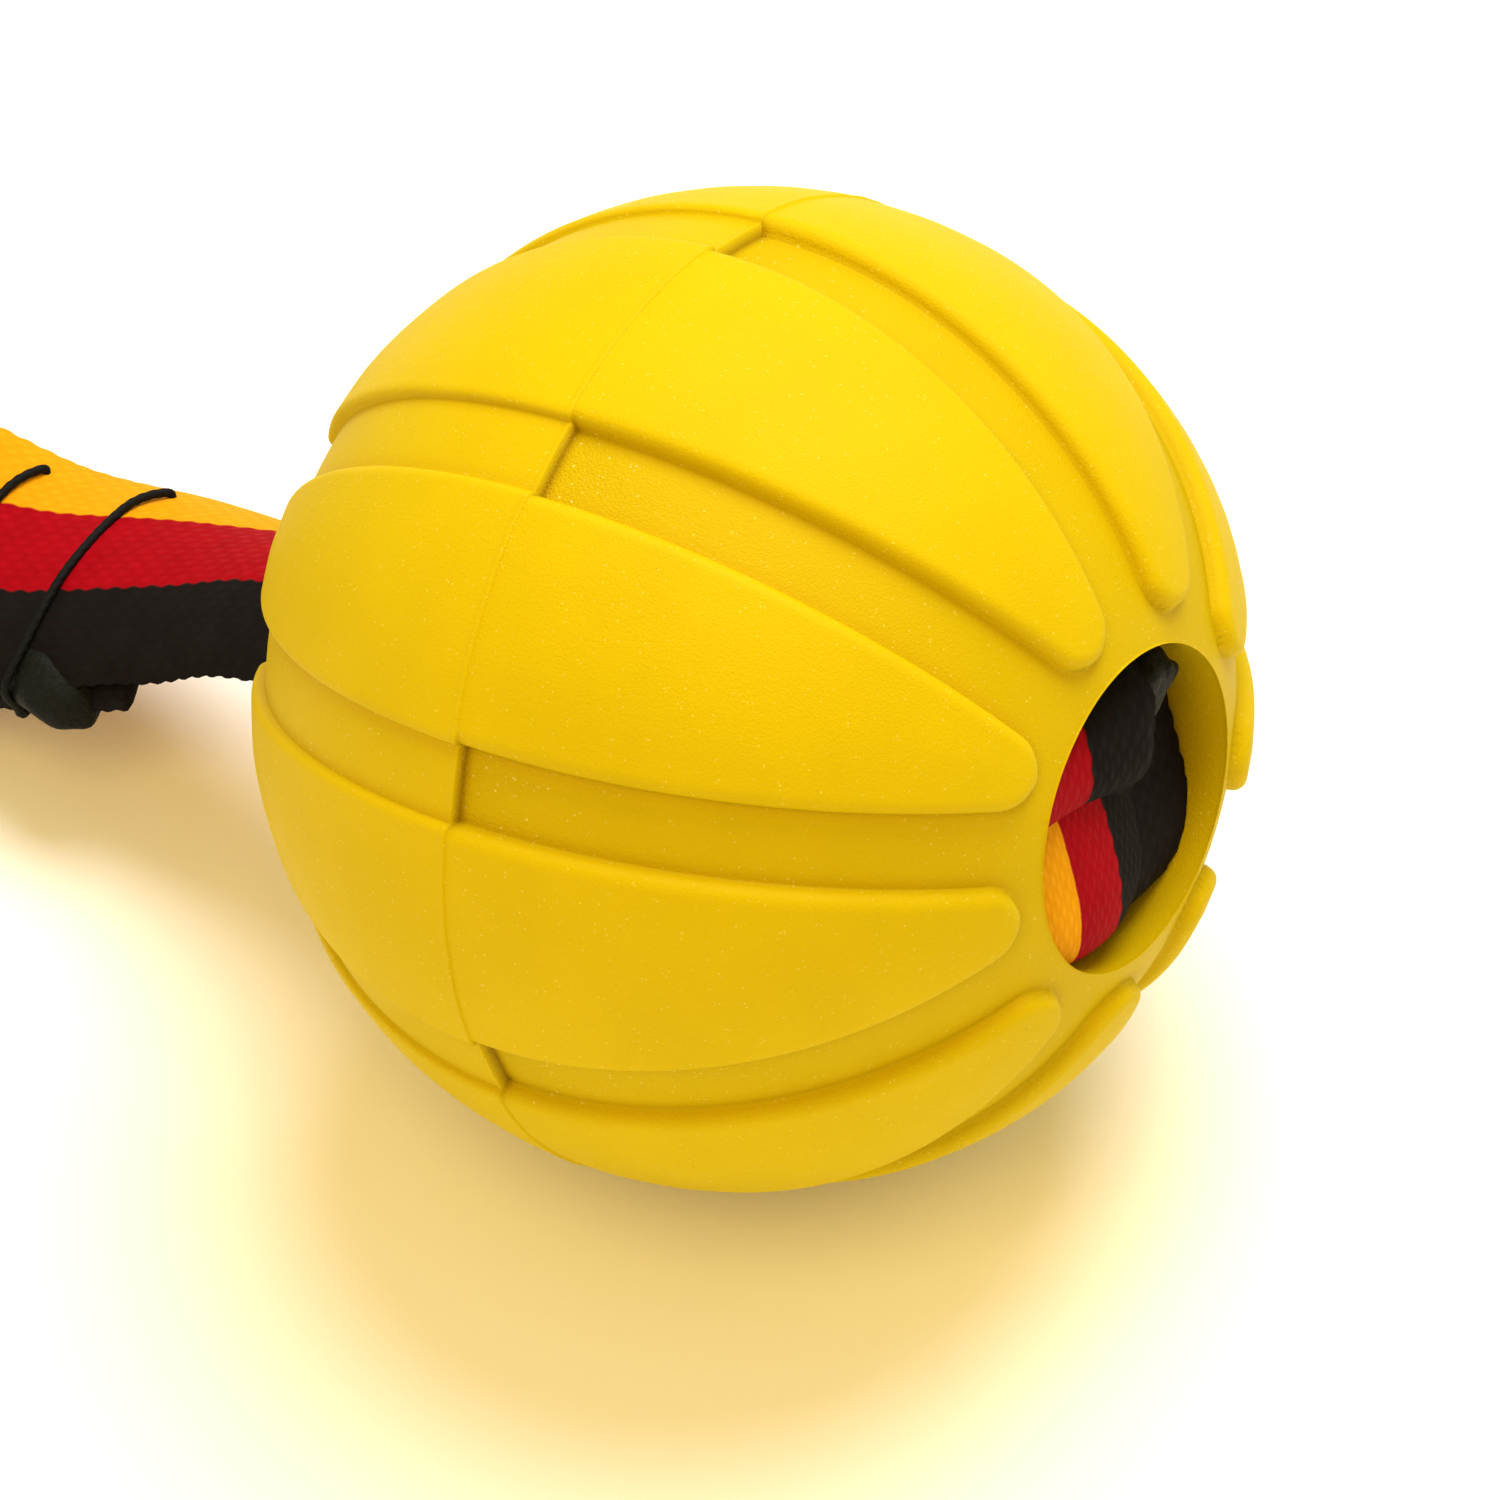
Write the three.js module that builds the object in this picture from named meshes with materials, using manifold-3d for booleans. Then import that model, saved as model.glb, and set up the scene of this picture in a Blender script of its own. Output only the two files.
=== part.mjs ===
// Rubber ball on a webbing strap.
// Millimetres, +Z up. The origin is the point that the ball rests on. The bore runs along X with its front
// mouth, which faces +X, tipped up. The strap leaves through the back mouth towards -X and lies on the
// ground behind.
import * as THREE from "three";
import { mergeVertices } from "three/addons/utils/BufferGeometryUtils.js";
import Module from "manifold-3d";

// ---- Driving dimensions ----------------------------------------------------------------------------
const BALL_R = 32.5; // over the raised panels
const FLOOR_FRONT_R = 31.3; // channel floor on the front half
const FLOOR_BACK_R = 31.75; // channel floor on the back half, which is shallower
const PARTING_X = -0.8; // plane where the two halves of the mould met
const PANELS = 9;
const CHANNEL_HALF = 2.6; // half a channel's width, the same all along the bore
const PANEL_END_X = 29.2; // how far a panel reaches along the bore
const PANEL_CORNER = 2.4; // length of the rounding at a panel's corners
const MOUTH_R = 11.1;
const POCKET_R = 10.9;
const FRONT_POCKET_X = 10; // bottom of the pocket that holds the knot
const PASSAGE_R = 7.6;
const BACK_POCKET_X = -9; // bottom of the pocket at the back
const PASSAGE_FLARE = 4; // length of the cone from the passage to the back pocket
const TIP_DEG = 11.7; // how far the front mouth is tipped up
const TURN_DEG = -17.7; // how far the ball is turned about its bore

const STRAP_W = 20;
const STRAP_T = 1.8;
const SELVEDGE_T = 1.3; // the webbing is a little thinner at its edges
const LAYER_PITCH = 2.3; // from the middle of one sewn layer to the middle of the other
const GAP = 0.3; // between nodes that touch

const THREAD_R = 0.3;
const STITCHES = 5;

const KNOT_X = [10.4, 25.2]; // the knot's back and front faces
const KNOT_R = 10.3;

// The strap's middle line from the knot to the end of the sewing: x, y, z, roll and arch.
// Roll turns the face from up (0) to the side (90). Arch is how far the webbing bends across its width.
const NECK_ROUTE = [
  [8.6, 0, 40.0, 0, 200],
  [-1.1, 0, 38.0, 0, 200],
  [-10.9, 0, 35.9, -2, 198],
  [-20.4, 0, 32.6, -8, 172],
  [-29.3, 0.5, 26.5, -12, 128],
  [-39.2, 0.7, 21.4, -13, 104],
  [-46.9, -0.2, 17.9, -3, 84],
];
const SEWN_ROUTE = [
  [-57.9, -2.2, 13.9, 10, 62],
  [-68.5, -3.6, 12.3, 33, 40],
  [-79.5, -4.7, 12.0, 58, 24],
  [-90.5, -5.8, 12.2, 74, 10],
];
const LOOP_ROUTE = [
  [-103, -7.4, 11.1, 85, 2],
  [-118, -11.6, 10, 90, 0],
  [-136, -19.4, 10, 90, 0],
  [-156, -26.2, 10, 90, 0],
  [-176, -29.0, 10, 90, 0],
  [-193, -25.0, 10, 90, 0],
  [-203, -14.5, 10, 90, 0],
  [-205.5, -3, 10, 90, 0],
  [-202, 8.5, 10, 90, 0],
  [-191, 18.0, 10, 90, 0],
  [-174, 21.0, 10, 90, 0],
  [-154, 17.4, 10, 90, 0],
  [-134, 9.8, 10, 90, 0],
  [-117, 1.4, 10, 90, 0],
  [-103.5, -4.1, 11.1, 95, -2],
];

// ---- Materials -------------------------------------------------------------------------------------
const RUBBER = { color: 0xf0d000, roughness: 0.5, metalness: 0 };
const WEBBING = { color: 0xb8101c, roughness: 0.85, metalness: 0 };
const WEBBING_DARK = { color: 0x141414, roughness: 0.85, metalness: 0 };
const THREAD = { color: 0x0c0c0e, roughness: 0.6, metalness: 0 };

// ---- Solids ----------------------------------------------------------------------------------------
const wasm = await Module();
wasm.setup();

function toSolid(geometry) {
  const bare = geometry.index ? geometry.toNonIndexed() : geometry.clone();
  bare.deleteAttribute("normal");
  bare.deleteAttribute("uv");
  const merged = mergeVertices(bare, 1e-3);
  return new wasm.Manifold(
    new wasm.Mesh({
      numProp: 3,
      vertProperties: merged.attributes.position.array,
      triVerts: new Uint32Array(merged.index.array),
    }),
  );
}

function toGeometry(solid) {
  const mesh = solid.getMesh();
  const geometry = new THREE.BufferGeometry();
  geometry.setAttribute("position", new THREE.BufferAttribute(mesh.vertProperties, 3));
  geometry.setIndex(new THREE.BufferAttribute(mesh.triVerts, 1));
  return geometry;
}

const group = new THREE.Group();

function add(name, geometry, look) {
  const mesh = new THREE.Mesh(geometry, new THREE.MeshStandardMaterial(look));
  mesh.name = name;
  group.add(mesh);
  return mesh;
}

// A solid of revolution about the bore: the profile's points are (distance along X, radius).
function turned(points, segments) {
  const profile = points.map(([x, r]) => new THREE.Vector2(r, x));
  const geometry = new THREE.LatheGeometry(profile, segments);
  geometry.rotateZ(-Math.PI / 2);
  return geometry;
}

// ---- Ball ------------------------------------------------------------------------------------------
// Points of an arc of radius r about the ball's centre, from x = from to x = to.
function arc(r, from, to, steps) {
  const start = Math.asin(from / r);
  const end = Math.asin(to / r);
  return Array.from({ length: steps + 1 }, (_, i) => {
    const a = start + ((end - start) * i) / steps;
    return [r * Math.sin(a), r * Math.cos(a)];
  });
}

function core() {
  const back = -Math.sqrt(FLOOR_BACK_R ** 2 - MOUTH_R ** 2);
  const front = Math.sqrt(FLOOR_FRONT_R ** 2 - MOUTH_R ** 2);
  const outline = [
    ...arc(FLOOR_BACK_R, back, PARTING_X, 12),
    ...arc(FLOOR_FRONT_R, PARTING_X, front, 12),
    [front - 0.6, POCKET_R],
    [FRONT_POCKET_X, POCKET_R],
    [FRONT_POCKET_X, PASSAGE_R],
    [BACK_POCKET_X, PASSAGE_R],
    [BACK_POCKET_X - PASSAGE_FLARE, POCKET_R],
    [back + 0.6, POCKET_R],
  ];
  return toSolid(turned([...outline, outline[0]], 72));
}

// Half of a panel's width at x. The channels keep one width, so a panel is lens shaped.
function panelHalfWidth(x) {
  const reach = Math.sqrt(BALL_R ** 2 - x ** 2);
  return reach * Math.sin(Math.PI / PANELS - Math.asin(CHANNEL_HALF / reach));
}

// A panel's outline, flat: x along the bore, y across.
function panelOutline() {
  const side = PANEL_END_X - PANEL_CORNER;
  const edge = Array.from({ length: 17 }, (_, i) => {
    const x = side * (i / 8 - 1);
    return [x, panelHalfWidth(x)];
  });
  const wide = panelHalfWidth(side);
  const flat = wide - PANEL_CORNER;
  const shape = new THREE.Shape();
  shape.moveTo(-side, wide);
  edge.slice(1).forEach(([x, y]) => shape.lineTo(x, y));
  shape.quadraticCurveTo(PANEL_END_X, wide, PANEL_END_X, flat);
  shape.lineTo(PANEL_END_X, -flat);
  shape.quadraticCurveTo(PANEL_END_X, -wide, side, -wide);
  edge.reverse().slice(1).forEach(([x, y]) => shape.lineTo(x, -y));
  shape.quadraticCurveTo(-PANEL_END_X, -wide, -PANEL_END_X, -flat);
  shape.lineTo(-PANEL_END_X, flat);
  shape.quadraticCurveTo(-PANEL_END_X, wide, -side, wide);
  return shape;
}

function panels() {
  const root = FLOOR_FRONT_R - 14; // deep enough to stay in the core at a panel's ends
  const block = new THREE.ExtrudeGeometry(panelOutline(), {
    depth: BALL_R + 1 - root,
    bevelEnabled: false,
    curveSegments: 6,
  });
  block.translate(0, 0, root);
  const one = toSolid(block);
  let all = null;
  for (let i = 0; i < PANELS; i++) {
    const turn = (360 / PANELS) * (i + 0.5);
    const panel = one.rotate([turn, 0, 0]);
    all = all ? all.add(panel) : panel;
  }
  return all.intersect(toSolid(turned(arc(BALL_R, -BALL_R, BALL_R, 36), 72)));
}

function bore() {
  const past = BALL_R + 5;
  return toSolid(
    turned([[-past, 0], [-past, POCKET_R], [past, POCKET_R], [past, 0]], 72),
  );
}

// Puts a piece that was made about the bore in its place on the ground.
function seat(geometry) {
  geometry.rotateX(THREE.MathUtils.degToRad(TURN_DEG));
  geometry.rotateY(THREE.MathUtils.degToRad(-TIP_DEG));
  return geometry.translate(0, 0, BALL_R);
}

const raised = panels().subtract(bore());
add("ball_body", seat(toGeometry(core().add(raised))), RUBBER);

// ---- Strap -----------------------------------------------------------------------------------------
const UP = new THREE.Vector3(0, 0, 1);

function catmullRom(rows) {
  return new THREE.CatmullRomCurve3(
    rows.map(([x, y, z]) => new THREE.Vector3(x, y, z)),
    false,
    "catmullrom",
    0.5,
  );
}

// The three directions of the webbing for a direction of travel: across (towards the dark edge), out
// of its face, and along.
function facing(along, rollDeg) {
  const side = UP.clone().cross(along).normalize();
  const top = along.clone().cross(side);
  const roll = THREE.MathUtils.degToRad(rollDeg);
  const face = top.clone().multiplyScalar(Math.cos(roll)).addScaledVector(side, Math.sin(roll));
  const across = side.multiplyScalar(Math.cos(roll)).addScaledVector(top, -Math.sin(roll));
  return { across, face };
}

// The bottom layer lies under the sewn stretch and runs back towards the ball.
function returnRoute() {
  const rows = [...NECK_ROUTE.slice(-2), ...SEWN_ROUTE, LOOP_ROUTE[0]];
  const line = catmullRom(rows);
  const back = [];
  for (let i = rows.length - 2; i >= 1; i--) {
    const [x, y, z, roll, arch] = rows[i];
    const { face } = facing(line.getTangent(i / (rows.length - 1)), roll);
    const p = new THREE.Vector3(x, y, z).addScaledVector(face, -LAYER_PITCH);
    back.push([p.x, p.y, p.z, 180 - roll, -arch]);
  }
  return back;
}

const RETURN_ROUTE = returnRoute();
const ROUTE = [...NECK_ROUTE, ...SEWN_ROUTE, ...LOOP_ROUTE, ...RETURN_ROUTE];
const LINE = catmullRom(ROUTE);
const SPANS = ROUTE.length - 1;

// A point of the strap: at counts the rows of ROUTE, u is across the webbing and w is out of its face.
function strapPoint(at, u, w) {
  const i = Math.min(Math.floor(at), SPANS - 1);
  const mix = at - i;
  const roll = THREE.MathUtils.lerp(ROUTE[i][3], ROUTE[i + 1][3], mix);
  const arch = THREE.MathUtils.lerp(ROUTE[i][4], ROUTE[i + 1][4], mix);
  const bend = THREE.MathUtils.degToRad(arch) / STRAP_W || 1e-9;
  const { across, face } = facing(LINE.getTangent(at / SPANS), roll);
  const turn = bend * u;
  return LINE.getPoint(at / SPANS)
    .addScaledVector(across, Math.sin(turn) / bend + w * Math.sin(turn))
    .addScaledVector(face, w * Math.cos(turn) - (1 - Math.cos(turn)) / bend);
}

// The webbing's section, a little crowned, with points across it so that it can arch.
function webbingSection(width, thick, edge) {
  const half = [-0.5, -0.25, 0, 0.25, 0.5].map((k) => {
    const t = thick - (thick - edge) * 4 * k * k;
    return [k * width, t / 2];
  });
  const shape = new THREE.Shape();
  shape.moveTo(half[0][0], -half[0][1]);
  half.slice(1).forEach(([x, y]) => shape.lineTo(x, -y));
  [...half].reverse().forEach(([x, y]) => shape.lineTo(x, y));
  return shape;
}

// A stretch of strap between two places on ROUTE.
function stretch(from, to, steps, section) {
  const geometry = new THREE.ExtrudeGeometry(section, { depth: 1, steps, bevelEnabled: false });
  const p = geometry.attributes.position;
  for (let i = 0; i < p.count; i++) {
    const at = from + (to - from) * p.getZ(i);
    const q = strapPoint(at, p.getX(i), p.getY(i));
    p.setXYZ(i, q.x, q.y, q.z);
  }
  return geometry;
}

const rowGap = GAP / 10 / 2; // rows lie about 10 mm apart
const sewnFrom = NECK_ROUTE.length - 1;
const loopFrom = sewnFrom + SEWN_ROUTE.length;
const backFrom = loopFrom + LOOP_ROUTE.length + 1;
const sealFrom = SPANS - 0.24;
const webbing = webbingSection(STRAP_W, STRAP_T, SELVEDGE_T);

add("strap_neck", stretch(0, sewnFrom - rowGap, 12, webbing), WEBBING);
add("strap_top_layer", stretch(sewnFrom + rowGap, loopFrom - rowGap, 8, webbing), WEBBING);
add("hand_loop", stretch(loopFrom + rowGap, backFrom - rowGap, 34, webbing), WEBBING);
add("strap_bottom_layer", stretch(backFrom + rowGap, sealFrom - rowGap, 8, webbing), WEBBING);
add(
  "sealed_end",
  stretch(sealFrom + rowGap, SPANS, 2, webbingSection(STRAP_W - 0.4, STRAP_T, SELVEDGE_T)),
  WEBBING_DARK,
);

// ---- Stitches --------------------------------------------------------------------------------------
// Each stitch comes up near the pale edge, slants over the face, turns round the dark edge and slants
// back under the bottom layer.
function stitch(at) {
  const over = STRAP_T / 2 + THREAD_R + GAP;
  const edge = STRAP_W / 2 + THREAD_R + GAP + 0.6;
  const slant = 0.5;
  const top = [
    [0, -8.4, over],
    [0.25, -4, over],
    [0.5, 2, over],
    [0.75, 7, over],
    [0.95, edge - 0.2, over],
  ].map(([k, u, w]) => [at + slant * k, u, w]);
  const under = [...top].reverse().map(([k, u, w]) => {
    return [Math.min(backFrom + loopFrom - k, SPANS), u, w];
  });
  const turnRound = [at + slant, edge + 0.7, -LAYER_PITCH / 2];
  const path = [...top, turnRound, ...under].map((row) => strapPoint(...row));
  const section = new THREE.Shape();
  section.absarc(0, 0, THREAD_R, 0, 2 * Math.PI, false);
  return new THREE.ExtrudeGeometry(section, {
    steps: 20,
    curveSegments: 3,
    bevelEnabled: false,
    extrudePath: new THREE.CatmullRomCurve3(path),
  });
}

for (let i = 0; i < STITCHES; i++) {
  add("stitch_" + (i + 1), stitch(sewnFrom + 0.3 + i * 0.8), THREAD);
}

// ---- Knot ------------------------------------------------------------------------------------------
const [knotBack, knotFront] = KNOT_X;
const knotOutline = [
  [knotBack, 0],
  [knotBack, KNOT_R - 2.5],
  [knotBack + 2.5, KNOT_R],
  [knotFront - 3.5, KNOT_R],
  [knotFront - 1, KNOT_R - 1.6],
  [knotFront, KNOT_R - 4.5],
  [knotFront, 0],
];
add("strap_knot", seat(turned(knotOutline, 24)), WEBBING);

const tail = new THREE.SphereGeometry(1, 12, 8);
tail.scale(1.5, 3.2, 2.6);
tail.translate(knotFront + GAP + 1.5, 4, 6);
add("strap_tail_end", seat(tail), WEBBING_DARK);

export default group;
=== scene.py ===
# %% [markdown]
# # A moulded rubber ball on a webbing strap
#
# The ball is one moulding of soft yellow rubber with a bore through it. A strap of black, red and gold
# webbing is knotted in the front of the bore, leaves at the back, and is folded back on itself and sewn
# to make a hand loop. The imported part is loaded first, because every piece below is placed by it.

import math

import bmesh
import bpy
import numpy as np
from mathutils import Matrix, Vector


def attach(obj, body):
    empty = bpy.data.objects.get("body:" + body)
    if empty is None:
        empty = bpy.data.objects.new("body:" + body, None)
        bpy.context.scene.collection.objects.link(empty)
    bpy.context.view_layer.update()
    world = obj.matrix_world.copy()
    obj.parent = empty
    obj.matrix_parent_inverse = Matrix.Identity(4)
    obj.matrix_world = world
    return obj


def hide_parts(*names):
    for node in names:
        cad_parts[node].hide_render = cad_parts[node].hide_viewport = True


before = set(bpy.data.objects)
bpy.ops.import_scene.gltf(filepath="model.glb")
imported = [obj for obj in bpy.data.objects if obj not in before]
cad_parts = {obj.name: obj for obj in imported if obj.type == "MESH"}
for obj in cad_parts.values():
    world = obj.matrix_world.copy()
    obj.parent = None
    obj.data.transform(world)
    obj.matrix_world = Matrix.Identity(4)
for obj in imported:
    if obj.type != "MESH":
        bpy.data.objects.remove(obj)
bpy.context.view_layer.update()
MM = 0.001
BALL_R = 32.5 * MM
CENTRE = Vector((0, 0, BALL_R))

# %% [markdown]
# ## Camera
#
# The view is a long lens from high above, on the front mouth's side. A long lens keeps the ball's
# outline round and the strap parallel. The ball sits a little above the middle of the view, and a
# small shift puts it there without turning the camera.

# %% Place the camera
CAMERA_WAY = Vector((0.3598, -0.5642, 0.7431)).normalized()
CAMERA_DISTANCE = 0.65
camera_data = bpy.data.cameras.new("camera")
camera_data.lens = 242.4
camera_data.sensor_width = 36
camera_data.shift_x = -0.0033
camera_data.shift_y = -0.0393
camera_data.clip_end = 20
camera = bpy.data.objects.new("camera", camera_data)
bpy.context.collection.objects.link(camera)
camera.location = CENTRE + CAMERA_DISTANCE * CAMERA_WAY
camera.rotation_euler = (-CAMERA_WAY).to_track_quat("-Z", "Y").to_euler()
bpy.context.scene.camera = camera
print("camera at", tuple(round(v, 3) for v in camera.location))

# %% [markdown]
# ## Mesh helpers
#
# Everything on this object is a grid of points that has been bent into shape: the ball is a grid that
# closes both ways, and webbing and thread are grids that close round their section. So one helper turns
# a grid into a mesh. It also stores numbers for each point, which the materials read later: a place on
# the cloth, or how deep a point lies. The ball and the knot are made about the bore, with the ball's
# centre at 0, and a second helper tips and turns them into their place on the ground.

# %% Turn a grid of points into a mesh
def grid_mesh(name, points, closed_rows=False, marks=None):
    """points is rows x columns x 3, in metres, and each row closes on itself. marks maps a name to
    rows x columns (x 3) values."""
    rows, columns = points.shape[:2]
    index = np.arange(rows * columns).reshape(rows, columns)
    down = np.roll(index, -1, axis=0) if closed_rows else index[1:]
    here = index if closed_rows else index[:-1]
    here_next, down_next = np.roll(here, -1, axis=1), np.roll(down, -1, axis=1)
    quads = np.stack([here, down, down_next, here_next], axis=-1).reshape(-1, 4)
    faces = quads.tolist()
    if not closed_rows:
        faces.append(index[0].tolist())
        faces.append(index[-1][::-1].tolist())
    mesh = bpy.data.meshes.new(name)
    mesh.from_pydata(points.reshape(-1, 3).tolist(), [], faces)
    outward = bmesh.new()
    outward.from_mesh(mesh)
    bmesh.ops.recalc_face_normals(outward, faces=outward.faces)
    outward.to_mesh(mesh)
    outward.free()
    mesh.polygons.foreach_set("use_smooth", [True] * len(mesh.polygons))
    for mark, values in (marks or {}).items():
        values = np.asarray(values, np.float32)
        kind = "FLOAT_VECTOR" if values.ndim == 3 else "FLOAT"
        slot = mesh.attributes.new(mark, kind, "POINT")
        slot.data.foreach_set("vector" if values.ndim == 3 else "value", values.ravel())
    piece = bpy.data.objects.new(name, mesh)
    bpy.context.collection.objects.link(piece)
    return piece


def unit(vectors):
    return vectors / np.linalg.norm(vectors, axis=-1, keepdims=True)


def smooth(x, low, high):
    t = np.clip((x - low) / (high - low), 0, 1)
    return t * t * (3 - 2 * t)


TIP = math.radians(11.7)  # how far the front mouth is tipped up
TURN = math.radians(-17.7)  # how far the ball is turned about its bore


def seat(points):
    """Moves points made about the bore, with the ball's centre at 0, to their place on the ground."""
    x, y, z = np.moveaxis(np.asarray(points, float), -1, 0)
    y, z = y * math.cos(TURN) - z * math.sin(TURN), y * math.sin(TURN) + z * math.cos(TURN)
    up = x * math.sin(TIP) + z * math.cos(TIP)
    return np.stack([x * math.cos(TIP) - z * math.sin(TIP), y, up + BALL_R / MM], axis=-1)


# %% [markdown]
# ## The strap's route
#
# Webbing is stiff across its width and bends easily along it, so it is described by a middle line, a
# roll (which way its face looks) and an arch (how far it curls across). The strap leaves the bore
# curled like a gutter, flattens, turns onto its edge and runs out on the ground as a loop, because
# webbing on its edge makes the roundest loop. Then it comes back under itself and ends below the sewing.

# %% The strap's middle line: x, y, z, roll and arch
NECK = [
    (8.6, 0, 40.0, 0, 200),
    (-1.1, 0, 38.0, 0, 200),
    (-10.9, 0, 35.9, -2, 198),
    (-20.4, 0, 32.6, -8, 172),
    (-29.3, 0.5, 26.5, -12, 128),
    (-39.2, 0.7, 21.4, -13, 104),
    (-46.9, -0.2, 17.9, -3, 84),
]
SEWN = [
    (-57.9, -2.2, 13.9, 10, 62),
    (-68.5, -3.6, 12.3, 33, 40),
    (-79.5, -4.7, 12.0, 58, 24),
    (-90.5, -5.8, 12.2, 74, 10),
]
LOOP = [
    (-103, -7.4, 11.1, 85, 2),
    (-118, -11.6, 10, 90, 0),
    (-136, -19.4, 10, 90, 0),
    (-156, -26.2, 10, 90, 0),
    (-176, -29.0, 10, 90, 0),
    (-193, -25.0, 10, 90, 0),
    (-203, -14.5, 10, 90, 0),
    (-205.5, -3, 10, 90, 0),
    (-202, 8.5, 10, 90, 0),
    (-191, 18.0, 10, 90, 0),
    (-174, 21.0, 10, 90, 0),
    (-154, 17.4, 10, 90, 0),
    (-134, 9.8, 10, 90, 0),
    (-117, 1.4, 10, 90, 0),
    (-103.5, -4.1, 11.1, 95, -2),
]
STRAP_W = 20.0
STRAP_T = 1.8
SELVEDGE_T = 1.1
LAYER_PITCH = 2.3


def along_route(rows, at):
    """A smooth curve through rows, at counts them; returns values with the columns of rows."""
    rows = np.asarray(rows, float)
    at = np.atleast_1d(at).astype(float)
    before = 2 * rows[0] - rows[1]
    after = 2 * rows[-1] - rows[-2]
    padded = np.vstack([before, rows, after])
    i = np.clip(np.floor(at).astype(int), 0, len(rows) - 2)
    w = (at - i)[:, None]
    p0, p1, p2, p3 = (padded[i + k] for k in range(4))
    t0, t1 = 0.5 * (p2 - p0), 0.5 * (p3 - p1)
    return (
        (2 * p1 - 2 * p2 + t0 + t1) * w**3
        + (-3 * p1 + 3 * p2 - 2 * t0 - t1) * w**2
        + t0 * w
        + p1
    )


def strap_frames(rows, at):
    """Middle points, directions across and out of the face, and the arch in radians per millimetre."""
    row = along_route(rows, at)
    step = 1e-3
    at = np.asarray(at)
    ahead = unit(along_route(rows, at + step)[:, :3] - along_route(rows, at - step)[:, :3])
    side = unit(np.cross([0, 0, 1], ahead))
    top = np.cross(ahead, side)
    roll = np.radians(row[:, 3])[:, None]
    face = top * np.cos(roll) + side * np.sin(roll)
    across = side * np.cos(roll) - top * np.sin(roll)
    bend = np.radians(row[:, 4]) / STRAP_W
    bend = np.where(np.abs(bend) < 1e-6, 1e-6, bend)
    return row[:, :3], across, face, bend


def return_rows():
    rows = [*NECK[-2:], *SEWN, LOOP[0]]
    back = []
    for i in range(len(rows) - 2, 0, -1):
        middle, _, face, _ = strap_frames(rows, [i])
        point = middle[0] - LAYER_PITCH * face[0]
        back.append((*point, 180 - rows[i][3], -rows[i][4]))
    return back


ROUTE = [*NECK, *SEWN, *LOOP, *return_rows()]
EXIT_AT = 4.2  # where the strap leaves the bore
SEWN_FROM = len(NECK) - 1
LOOP_FROM = SEWN_FROM + len(SEWN)
BACK_FROM = LOOP_FROM + len(LOOP) + 1
END_AT = len(ROUTE) - 1


def strap_point(at, u, w):
    """Points of the strap at place(s) at, u across and w out of the face, both in millimetres."""
    middle, across, face, bend = strap_frames(ROUTE, at)
    u, w = np.asarray(u, float), np.asarray(w, float)
    turn = bend * u
    sideways = (np.sin(turn) / bend + w * np.sin(turn))[:, None]
    outward = (w * np.cos(turn) - (1 - np.cos(turn)) / bend)[:, None]
    return middle + across * sideways + face * outward


def even_stations(rows, start, end, spacing):
    """Places between start and end that lie evenly along the curve, and the distance at each."""
    fine = np.linspace(start, end, 6000)
    points = along_route(rows, fine)[:, :3]
    length = np.concatenate([[0], np.cumsum(np.linalg.norm(np.diff(points, axis=0), axis=1))])
    count = max(4, int(round(length[-1] / spacing)) + 1)
    distance = np.linspace(0, length[-1], count)
    return np.interp(distance, length, fine), distance


STATION = 0.4  # millimetres from station to station on webbing that shows
strap_at, strap_distance = even_stations(ROUTE, EXIT_AT, BACK_FROM, STATION)
under_at, under_distance = even_stations(ROUTE, BACK_FROM + 0.01, END_AT, STATION)
print("free strap:", round(strap_distance[-1], 1), "mm and", round(under_distance[-1], 1), "mm under it")

# %% [markdown]
# ## Webbing
#
# Webbing is woven flat with a thick weft, so it has ribs across its width that show as scallops along
# both edges. The ribs are in the mesh, so that the edge shows them from every side. The finer yarns are
# left to the material, which needs to know the place on the cloth, so each point stores it.

# %% Build a strip of webbing
RIB = 1.55  # millimetres from rib to rib


def webbing_section(distance, columns=22):
    """For each station, the section's points (across, out), closed round, with ribs and scallops, and
    their place across the strap from -1 to 1."""
    spread = np.sin(np.linspace(-math.pi / 2, math.pi / 2, columns))
    flat = np.linspace(-1, 1, columns)
    k = 0.35 * spread + 0.65 * flat
    ring = np.concatenate([k, k[::-1]])
    above = np.concatenate([np.full(columns, -1.0), np.full(columns, 1.0)])
    rib = 0.5 + 0.5 * np.cos(2 * math.pi * distance / RIB)[:, None]
    other = 0.5 - 0.5 * np.cos(2 * math.pi * distance / RIB)[:, None]
    scallop = np.where(ring > 0, rib, other)
    half = STRAP_W / 2 - 0.12 + 0.17 * scallop**0.7
    drift = 0.12 * np.sin(distance / 4.3) + 0.08 * np.sin(distance / 1.9 + 1.0)
    across = ring * half + drift[:, None] * np.abs(ring) ** 3
    thick = STRAP_T - (STRAP_T - SELVEDGE_T) * np.abs(ring) ** 2.5
    rounding = np.sqrt(np.clip(1 - np.abs(ring) ** 14, 0, 1))
    lift = 0.035 * (np.where(above > 0, rib, other) - 0.5) * (1 - np.abs(ring) ** 6)
    out = above * (thick / 2 * rounding + lift)
    return across, out, ring


def webbing_strip(name, at, distance, to_points):
    """A strip through the stations at, whose distances along the webbing set its ribs."""
    across, out, ring = webbing_section(distance)
    rows, columns = across.shape
    repeated = np.repeat(at, columns)
    points = to_points(repeated, across.ravel(), out.ravel()).reshape(rows, columns, 3) * MM
    cloth = np.zeros((rows, columns, 3))
    cloth[..., 0] = distance[:, None]
    cloth[..., 1] = ring * STRAP_W / 2
    return grid_mesh(name, points, marks={"cloth": cloth})


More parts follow.
